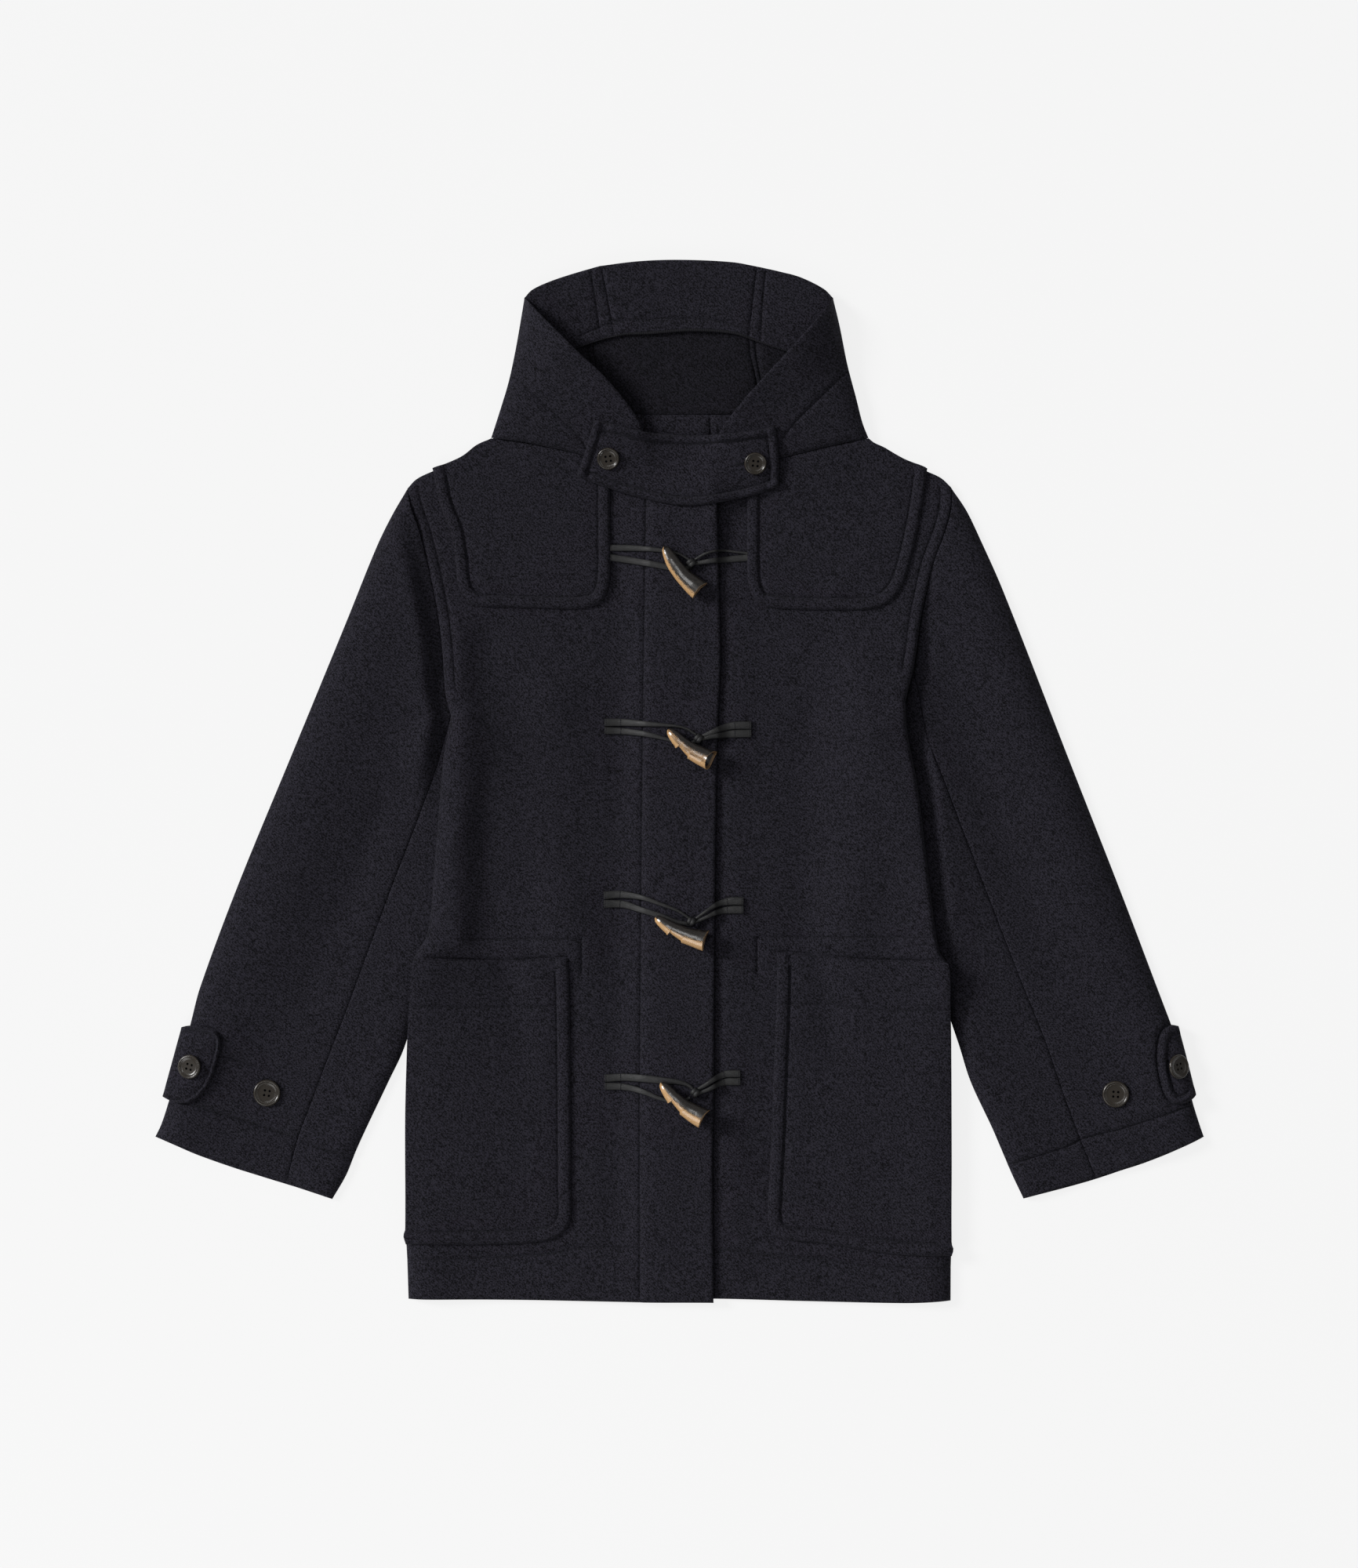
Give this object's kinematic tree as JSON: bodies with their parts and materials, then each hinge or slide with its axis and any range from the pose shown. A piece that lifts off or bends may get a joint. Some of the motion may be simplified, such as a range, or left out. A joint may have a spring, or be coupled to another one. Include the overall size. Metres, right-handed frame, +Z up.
{
  "type": "duffle coat",
  "caption": "Short hooded wool duffle coat laid flat, with horn toggles on leather strands, patch pockets, cuff straps and a buttoned neck tab.",
  "frame": {"origin": "on the surface the coat lies on, under the middle of its plan", "axes": "+Z up from that surface, +Y from the hem to the hood, and the wearer's right side at -X"},
  "size_m": [0.9376, 0.9308, 0.0398],
  "materials": {
    "wool_melton": "matte napped wool",
    "binding_tape": "ribbed tape",
    "leather": "soft satin",
    "horn": "polished horn",
    "button_horn": "satin horn"
  },
  "bodies": {
    "root": {"body_back": "wool_melton", "front_right": "wool_melton", "shoulder_patch_right": "wool_melton", "pocket_right": "wool_melton", "sleeve_top_right": "wool_melton", "sleeve_under_right": "wool_melton", "cuff_strap_right": "wool_melton", "hood_side_right": "wool_melton", "front_left": "wool_melton", "shoulder_patch_left": "wool_melton", "pocket_left": "wool_melton", "sleeve_top_left": "wool_melton", "sleeve_under_left": "wool_melton", "cuff_strap_left": "wool_melton", "hood_side_left": "wool_melton", "hood_centre": "wool_melton", "hood_brim_hem": "wool_melton", "hood_crown_folded": "wool_melton", "neck_tab": "wool_melton", "hood_hem_tape": "binding_tape", "neck_button_right": "button_horn", "strap_button_right": "button_horn", "cuff_button_right": "button_horn", "neck_button_left": "button_horn", "strap_button_left": "button_horn", "cuff_button_left": "button_horn", "toggle_1": "horn", "toggle_loop_1": "leather", "toggle_tie_1": "leather", "toggle_2": "horn", "toggle_loop_2": "leather", "toggle_tie_2": "leather", "toggle_3": "horn", "toggle_loop_3": "leather", "toggle_tie_3": "leather", "toggle_4": "horn", "toggle_loop_4": "leather", "toggle_tie_4": "leather"}
  },
  "joints": []
}
